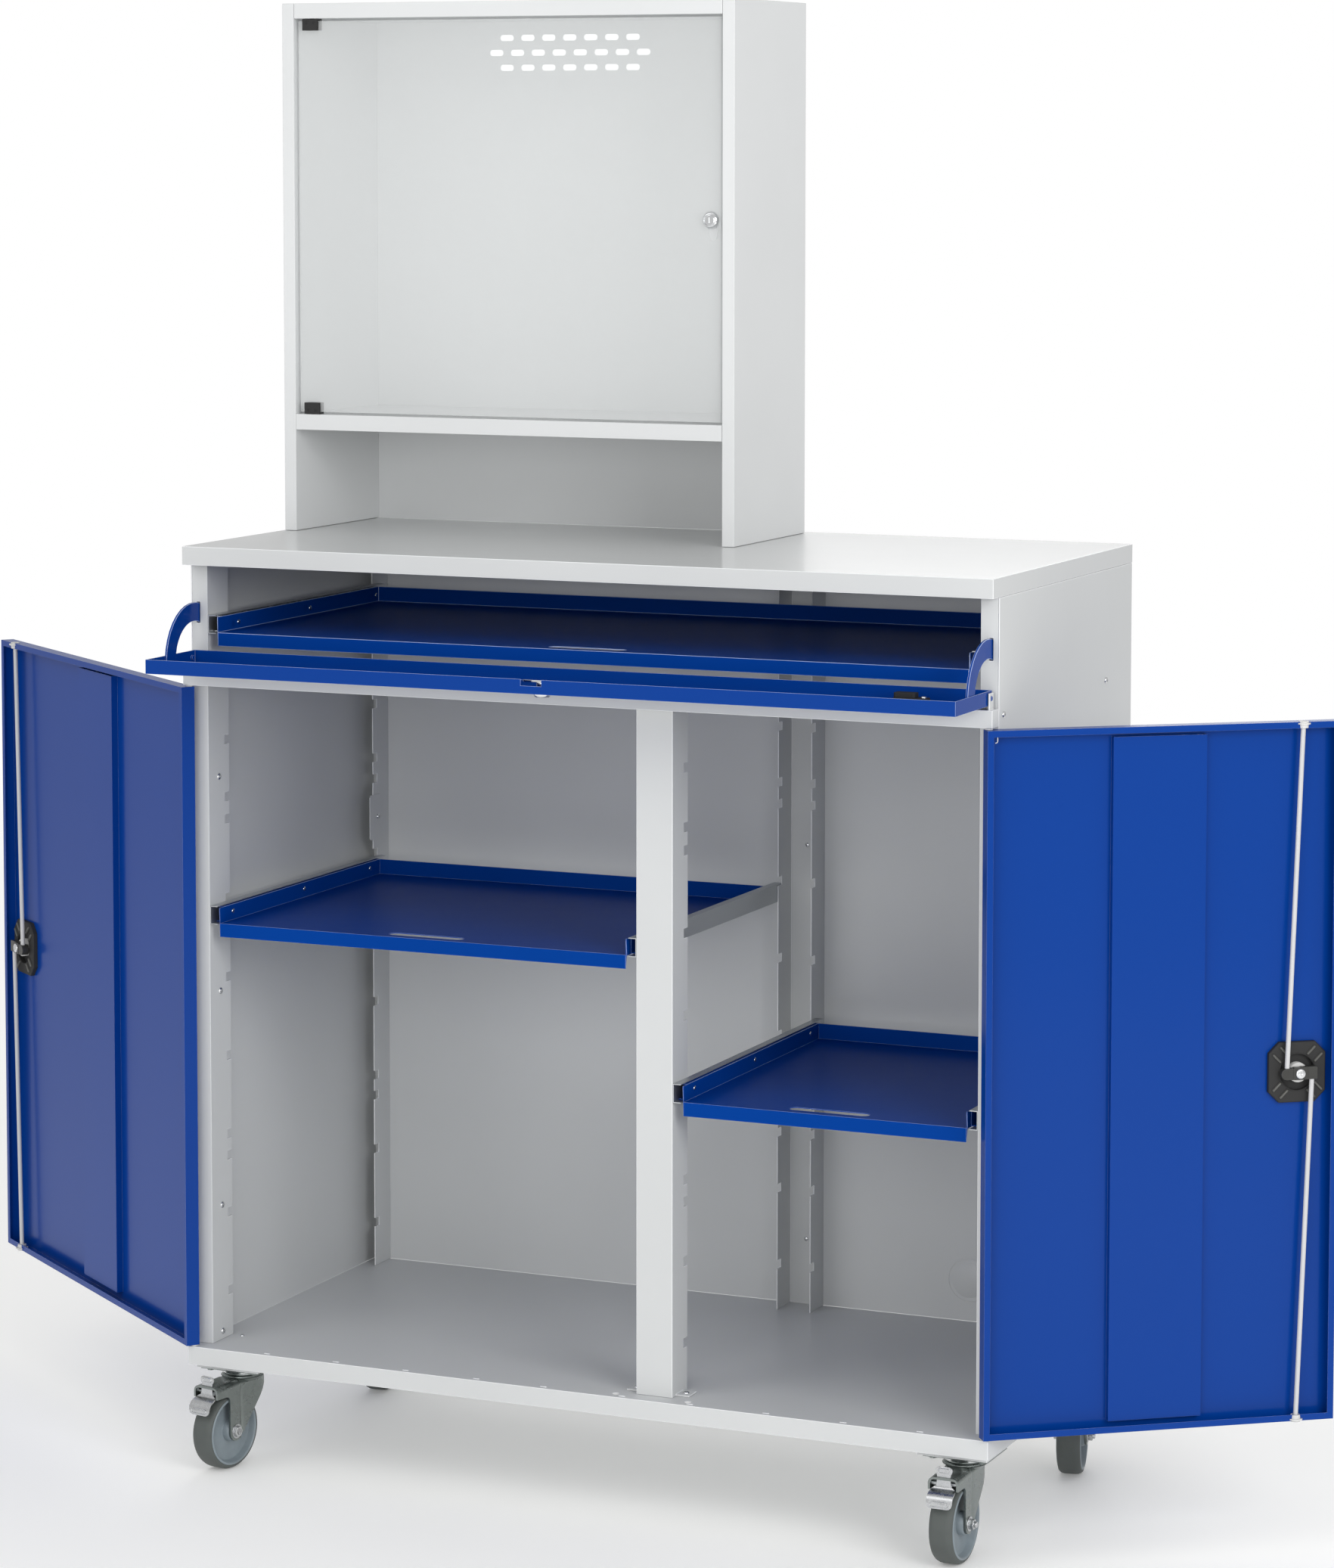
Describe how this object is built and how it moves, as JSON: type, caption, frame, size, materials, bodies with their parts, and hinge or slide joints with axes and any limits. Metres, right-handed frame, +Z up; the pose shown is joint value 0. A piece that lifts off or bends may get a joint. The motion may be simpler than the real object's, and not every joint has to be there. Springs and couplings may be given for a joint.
{
  "type": "mobile computer cabinet",
  "caption": "Sheet-metal computer cabinet on casters with a glazed screen housing, a keyboard tray behind a flap, hinged doors and pull-out shelves.",
  "frame": {"origin": "on the floor, under the middle of the bounding box as it stands with doors and flap open", "axes": "+X to the right as seen from the front, +Y to the back, +Z up; the doors and the flap face -Y"},
  "size_m": [1.9658, 0.6374, 1.8985],
  "materials": {
    "grey_paint": "light grey powder coat, satin",
    "blue_paint": "gentian blue powder coat, satin",
    "zinc_plate": "zinc plated",
    "black_plastic": "black moulded plastic",
    "rod_coat": "off-white coated steel rod",
    "caster_rubber": "grey rubber tread on a grey rim",
    "clear_pane": "clear pane"
  },
  "bodies": {
    "cabinet": {"base_pan": "grey_paint", "worktop": "grey_paint", "left_side_panel": "grey_paint", "right_side_panel": "grey_paint", "back_panel": "grey_paint", "left_front_post": "grey_paint", "right_front_post": "grey_paint", "left_rear_upright": "grey_paint", "right_rear_upright": "grey_paint", "front_rail": "grey_paint", "divider_front_post": "grey_paint", "divider_rear_post": "grey_paint", "housing_left_side": "grey_paint", "housing_right_side": "grey_paint", "housing_top": "grey_paint", "housing_back": "grey_paint", "housing_shelf": "grey_paint", "keyboard_tray_left_rail": "zinc_plate", "keyboard_tray_right_rail": "zinc_plate", "left_shelf_left_rail": "zinc_plate", "left_shelf_right_rail": "zinc_plate", "right_shelf_left_rail": "zinc_plate", "right_shelf_right_rail": "zinc_plate", "front_left_caster_plate": "zinc_plate", "front_right_caster_plate": "zinc_plate", "rear_left_caster_plate": "zinc_plate", "rear_right_caster_plate": "zinc_plate"},
    "keyboard_tray": {"keyboard_tray": "blue_paint", "keyboard_tray_left_runner": "zinc_plate", "keyboard_tray_right_runner": "zinc_plate"},
    "left_shelf": {"left_shelf": "blue_paint"},
    "right_shelf": {"right_shelf": "blue_paint"},
    "flap": {"flap": "blue_paint", "flap_left_stay": "blue_paint", "flap_right_stay": "blue_paint"},
    "flap_lock": {"flap_lock": "zinc_plate"},
    "pane": {"pane": "clear_pane", "pane_hinge_upper": "black_plastic", "pane_hinge_lower": "black_plastic"},
    "pane_lock": {"pane_lock": "zinc_plate"},
    "left_door": {"left_door": "blue_paint", "left_door_lock_box": "black_plastic"},
    "left_door_handle": {"left_door_handle": "black_plastic"},
    "left_door_upper_rod": {"left_door_upper_rod": "rod_coat"},
    "left_door_lower_rod": {"left_door_lower_rod": "rod_coat"},
    "right_door": {"right_door": "blue_paint", "right_door_lock_box": "black_plastic"},
    "right_door_handle": {"right_door_handle": "black_plastic"},
    "right_door_upper_rod": {"right_door_upper_rod": "rod_coat"},
    "right_door_lower_rod": {"right_door_lower_rod": "rod_coat"},
    "front_left_caster_fork": {"front_left_caster_fork": "zinc_plate"},
    "front_left_caster_wheel": {"front_left_caster_wheel": "caster_rubber"},
    "front_right_caster_fork": {"front_right_caster_fork": "zinc_plate"},
    "front_right_caster_wheel": {"front_right_caster_wheel": "caster_rubber"},
    "rear_left_caster_fork": {"rear_left_caster_fork": "zinc_plate"},
    "rear_left_caster_wheel": {"rear_left_caster_wheel": "caster_rubber"},
    "rear_right_caster_fork": {"rear_right_caster_fork": "zinc_plate"},
    "rear_right_caster_wheel": {"rear_right_caster_wheel": "caster_rubber"},
    "front_left_caster_pedal": {"front_left_caster_pedal": "zinc_plate"},
    "front_right_caster_pedal": {"front_right_caster_pedal": "zinc_plate"}
  },
  "joints": [
    {"name": "left_door_hinge", "type": "hinge", "parent": "cabinet", "child": "left_door", "pos_m": [-0.46449, -0.20625, 0], "axis": [0, 0, -1], "range_deg": [-217.5, 10]},
    {"name": "right_door_hinge", "type": "hinge", "parent": "cabinet", "child": "right_door", "pos_m": [0.62251, -0.20625, 0], "axis": [0, 0, 1], "range_deg": [-217, 12]},
    {"name": "left_door_upper_rod_slide", "type": "slide", "parent": "left_door", "child": "left_door_upper_rod", "axis": [-0.0301, 0.0231, 0.9993], "range_m": [0, 0.0165]},
    {"name": "left_door_lower_rod_slide", "type": "slide", "parent": "left_door", "child": "left_door_lower_rod", "axis": [0.0301, -0.0231, -0.9993], "range_m": [0, 0.0165]},
    {"name": "left_door_handle_turn", "type": "hinge", "parent": "left_door", "child": "left_door_handle", "pos_m": [-0.93693, 0.15627, 0.5915], "axis": [-0.6088, -0.7934, 0], "range_deg": [0, 90]},
    {"name": "right_door_upper_rod_slide", "type": "slide", "parent": "right_door", "child": "right_door_upper_rod", "axis": [0.0303, 0.0228, 0.9993], "range_m": [0, 0.0165]},
    {"name": "right_door_lower_rod_slide", "type": "slide", "parent": "right_door", "child": "right_door_lower_rod", "axis": [-0.0303, -0.0228, -0.9993], "range_m": [0, 0.0165]},
    {"name": "right_door_handle_turn", "type": "hinge", "parent": "right_door", "child": "right_door_handle", "pos_m": [0.93677, 0.03056, 0.5915], "axis": [-0.6018, 0.7986, 0], "range_deg": [0, 90]},
    {"name": "flap_hinge", "type": "hinge", "parent": "cabinet", "child": "flap", "pos_m": [0.07901, -0.20225, 1.058], "axis": [1, 0, 0], "range_deg": [-90, 0]},
    {"name": "flap_lock_turn", "type": "hinge", "parent": "flap", "child": "flap_lock", "pos_m": [0.07901, -0.29675, 1.058], "axis": [0, 0, 1], "range_deg": [0, 90]},
    {"name": "keyboard_tray_slide", "type": "slide", "parent": "cabinet", "child": "keyboard_tray", "axis": [0, -1, 0], "range_m": [0, 0.35]},
    {"name": "left_shelf_slide", "type": "slide", "parent": "cabinet", "child": "left_shelf", "axis": [0, -1, 0], "range_m": [0, 0.345]},
    {"name": "right_shelf_slide", "type": "slide", "parent": "cabinet", "child": "right_shelf", "axis": [0, -1, 0], "range_m": [0, 0.345]},
    {"name": "pane_hinge", "type": "hinge", "parent": "cabinet", "child": "pane", "pos_m": [-0.42699, 0.06725, 0], "axis": [0, 0, -1], "range_deg": [0, 110]},
    {"name": "pane_lock_turn", "type": "hinge", "parent": "pane", "child": "pane_lock", "pos_m": [0.14651, 0.06725, 1.61775], "axis": [0, -1, 0], "range_deg": [0, 90]},
    {"name": "front_left_caster_swivel", "type": "hinge", "parent": "cabinet", "child": "front_left_caster_fork", "pos_m": [-0.42199, -0.15625, 0], "axis": [0, 0, 1], "continuous": true},
    {"name": "front_left_caster_roll", "type": "hinge", "parent": "front_left_caster_fork", "child": "front_left_caster_wheel", "pos_m": [-0.42867, -0.19061, 0.05], "axis": [0.9816, -0.1908, 0], "continuous": true},
    {"name": "front_right_caster_swivel", "type": "hinge", "parent": "cabinet", "child": "front_right_caster_fork", "pos_m": [0.58001, -0.15625, 0], "axis": [0, 0, 1], "continuous": true},
    {"name": "front_right_caster_roll", "type": "hinge", "parent": "front_right_caster_fork", "child": "front_right_caster_wheel", "pos_m": [0.5794, -0.19124, 0.05], "axis": [0.9998, -0.0175, 0], "continuous": true},
    {"name": "rear_left_caster_swivel", "type": "hinge", "parent": "cabinet", "child": "rear_left_caster_fork", "pos_m": [-0.42199, 0.26375, 0], "axis": [0, 0, 1], "continuous": true},
    {"name": "rear_left_caster_roll", "type": "hinge", "parent": "rear_left_caster_fork", "child": "rear_left_caster_wheel", "pos_m": [-0.41712, 0.22909, 0.05], "axis": [0.9903, 0.1392, 0], "continuous": true},
    {"name": "rear_right_caster_swivel", "type": "hinge", "parent": "cabinet", "child": "rear_right_caster_fork", "pos_m": [0.58001, 0.26375, 0], "axis": [0, 0, 1], "continuous": true},
    {"name": "rear_right_caster_roll", "type": "hinge", "parent": "rear_right_caster_fork", "child": "rear_right_caster_wheel", "pos_m": [0.58728, 0.22951, 0.05], "axis": [0.9781, 0.2079, 0], "continuous": true},
    {"name": "front_left_caster_brake", "type": "hinge", "parent": "front_left_caster_fork", "child": "front_left_caster_pedal", "pos_m": [-0.4342, -0.21907, 0.1049], "axis": [0.9816, -0.1908, 0], "range_deg": [0, 8]},
    {"name": "front_right_caster_brake", "type": "hinge", "parent": "front_right_caster_fork", "child": "front_right_caster_pedal", "pos_m": [0.57889, -0.22024, 0.1049], "axis": [0.9998, -0.0175, 0], "range_deg": [0, 8]}
  ],
  "couplings": [
    {"joint": "left_door_lower_rod_slide", "follows": "left_door_upper_rod_slide", "ratio": 1},
    {"joint": "left_door_handle_turn", "follows": "left_door_upper_rod_slide", "rad_per_m": 95.2},
    {"joint": "right_door_lower_rod_slide", "follows": "right_door_upper_rod_slide", "ratio": 1},
    {"joint": "right_door_handle_turn", "follows": "right_door_upper_rod_slide", "rad_per_m": 95.2}
  ]
}
